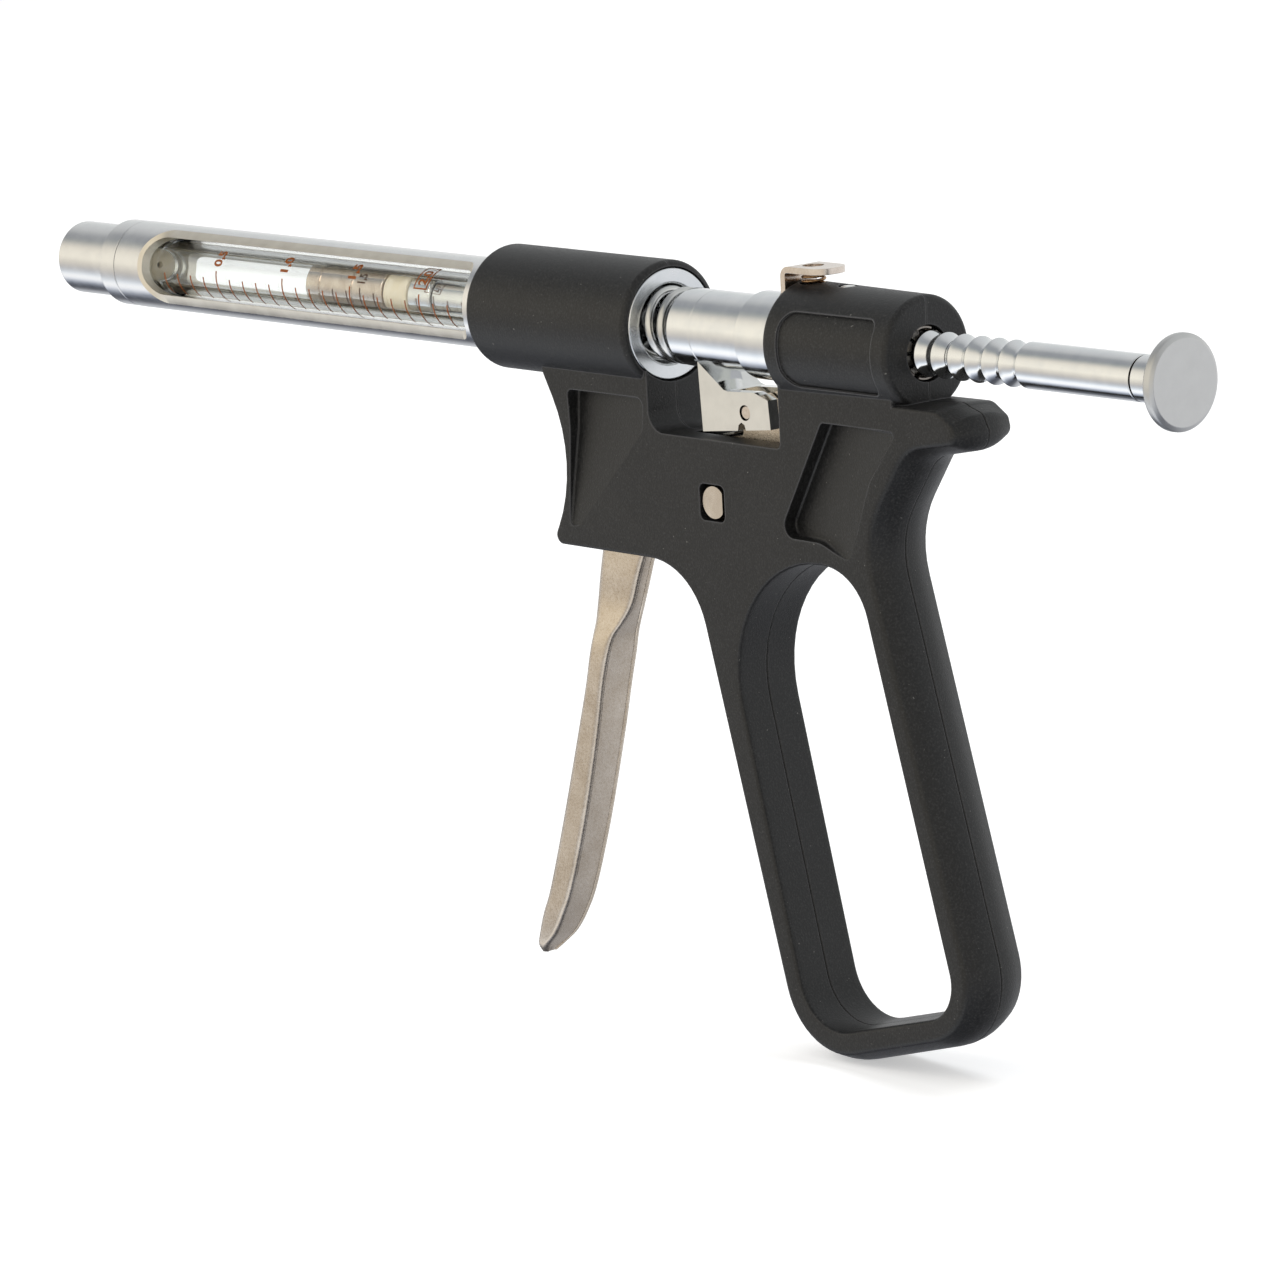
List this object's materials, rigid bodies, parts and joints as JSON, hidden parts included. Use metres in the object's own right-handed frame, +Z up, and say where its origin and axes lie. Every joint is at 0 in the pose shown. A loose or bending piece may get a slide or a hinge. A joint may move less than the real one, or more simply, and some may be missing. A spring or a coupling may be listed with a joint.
{
  "type": "automatic veterinary syringe",
  "caption": "Repeating livestock syringe with a windowed steel barrel round a glass cylinder, a ratchet plunger rod, a pistol grip with an open handle and a finger trigger.",
  "frame": {"origin": "centre of the footprint under the open handle, at its lowest point, halfway between the nose and the thumb knob", "axes": "+X along the barrel from the needle end to the thumb knob, +Y to the syringe's right-hand shell, +Z up"},
  "size_m": [0.2712, 0.0204, 0.1259],
  "materials": {
    "black_polyamide": "black glass-filled moulding, fine grain",
    "satin_steel": "turned and satin polished",
    "zinc_plate": "bright zinc plate",
    "nickel_sheet": "tumbled, warm nickel plate",
    "polished_steel": "polished",
    "spring_steel": "bright drawn wire",
    "bronze_wire": "drawn bronze wire",
    "clear_glass": "clear, with printed scale",
    "cream_ptfe": "smooth",
    "dark_rubber": "moulded",
    "satin_knob": "bead blasted"
  },
  "bodies": {
    "body": {"body_shell_left": "black_polyamide", "body_shell_right": "black_polyamide", "barrel_bush": "zinc_plate", "barrel_tube": "satin_steel", "front_cap": "satin_steel", "needle_cone": "satin_steel", "front_gasket": "cream_ptfe", "glass_barrel": "clear_glass", "rear_gasket": "dark_rubber", "barrel_clamp_ring": "satin_steel", "return_spring": "spring_steel", "lock_spring": "bronze_wire", "rear_guide_bush": "zinc_plate", "guide_screw": "polished_steel", "trigger_pivot_pin": "nickel_sheet"},
    "trigger": {"trigger_lever": "nickel_sheet", "pawl_pin": "nickel_sheet", "pawl_leaf_spring": "spring_steel"},
    "pawl": {"pawl_block": "polished_steel"},
    "sleeve": {"drive_sleeve": "zinc_plate", "rod_catch": "spring_steel"},
    "plunger": {"ribbed_rod": "zinc_plate", "piston_rod": "zinc_plate", "piston": "polished_steel", "piston_ring": "cream_ptfe", "piston_nut": "zinc_plate", "thumb_knob": "satin_knob"},
    "lock": {"lock_plate": "nickel_sheet"}
  },
  "joints": [
    {"name": "trigger_pull", "type": "hinge", "parent": "body", "child": "trigger", "pos_m": [0.0365, 0, 0.0875], "axis": [0, -1, 0], "range_deg": [0, 11.56], "stiffness_Nm_per_rad": 1.5},
    {"name": "pawl_tilt", "type": "hinge", "parent": "trigger", "child": "pawl", "pos_m": [0.0428, 0, 0.10211], "axis": [0, -1, 0], "range_deg": [-6.5, 0.1]},
    {"name": "sleeve_feed", "type": "slide", "parent": "body", "child": "sleeve", "axis": [-1, 0, 0], "range_m": [0, 0.0037], "deforming": ["return_spring"]},
    {"name": "plunger_slide", "type": "slide", "parent": "body", "child": "plunger", "axis": [-1, 0, 0], "range_m": [-0.0309, 0.0418]},
    {"name": "lock_press", "type": "slide", "parent": "body", "child": "lock", "axis": [0, 0, -1], "range_m": [0, 0.0011], "stiffness_N_per_m": 400, "springref_m": -0.001, "deforming": ["lock_spring"]}
  ],
  "couplings": [
    {"joint": "pawl_tilt", "follows": "trigger_pull", "ratio": -0.546},
    {"joint": "sleeve_feed", "follows": "trigger_pull", "m_per_rad": 0.01824}
  ]
}
